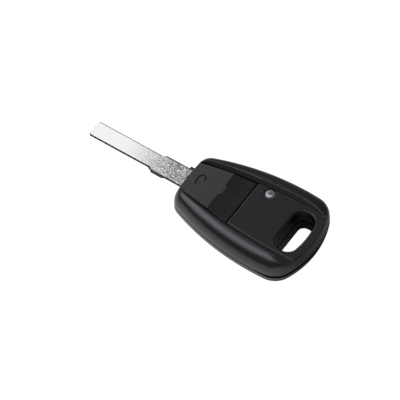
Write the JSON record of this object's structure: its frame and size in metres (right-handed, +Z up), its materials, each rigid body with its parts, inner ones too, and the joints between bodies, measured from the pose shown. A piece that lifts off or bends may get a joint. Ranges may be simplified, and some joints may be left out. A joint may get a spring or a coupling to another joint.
{
  "type": "key fob shell",
  "caption": "Car key with a flat blank blade and a moulded remote head: hinged button flap, clear indicator lamp, crescent side rails and a key-ring slot.",
  "frame": {"origin": "middle of the flat underside of the head", "axes": "+X from the blade towards the key-ring slot, so the blade points along -X; +Z up, the way the button faces; +Y to the side of the indicator lamp"},
  "size_m": [0.0886, 0.035, 0.011],
  "materials": {
    "housing_plastic": "fine spark-eroded grain, satin",
    "button_plastic": "fine grain, satin",
    "blade_steel": "nickel plated, slightly rough",
    "board_laminate": "green solder resist",
    "copper": "bare copper",
    "cell_steel": "nickel plated",
    "contact_spring": "plated spring strip",
    "tinned_steel": "tinned",
    "black_moulding": "moulded",
    "plunger_moulding": "moulded",
    "clear_epoxy": "clear",
    "ceramic": "sintered",
    "capacitor_ceramic": "sintered"
  },
  "bodies": {
    "head": {"lower_shell": "housing_plastic", "upper_shell": "housing_plastic", "blade": "blade_steel", "circuit_board": "board_laminate", "antenna_loop": "copper", "coin_cell": "cell_steel", "battery_contact_positive": "contact_spring", "battery_contact_negative": "contact_spring", "switch_base": "black_moulding", "switch_cover": "tinned_steel", "switch_dome": "tinned_steel", "indicator_lamp": "clear_epoxy", "lamp_leadframe": "tinned_steel", "transponder_chip": "black_moulding", "control_chip": "black_moulding", "control_chip_leads": "tinned_steel", "resonator_base": "ceramic", "resonator_can": "tinned_steel", "transistor": "black_moulding", "transistor_legs": "tinned_steel", "capacitors": "capacitor_ceramic", "resistors": "black_moulding", "component_ends": "tinned_steel"},
    "button": {"button": "button_plastic"},
    "plunger": {"switch_plunger": "plunger_moulding"}
  },
  "joints": [
    {"name": "button_press", "type": "hinge", "parent": "head", "child": "button", "pos_m": [-0.0215, 0, 0.0086], "axis": [0, 1, 0], "range_deg": [0, 1.45], "stiffness_Nm_per_rad": 0.5, "springref_deg": -2.29},
    {"name": "switch_travel", "type": "slide", "parent": "head", "child": "plunger", "axis": [0, 0, -1], "range_m": [0, 0.00035], "deforming": ["switch_dome"]}
  ],
  "couplings": [
    {"joint": "switch_travel", "follows": "button_press", "m_per_rad": 0.0135}
  ]
}
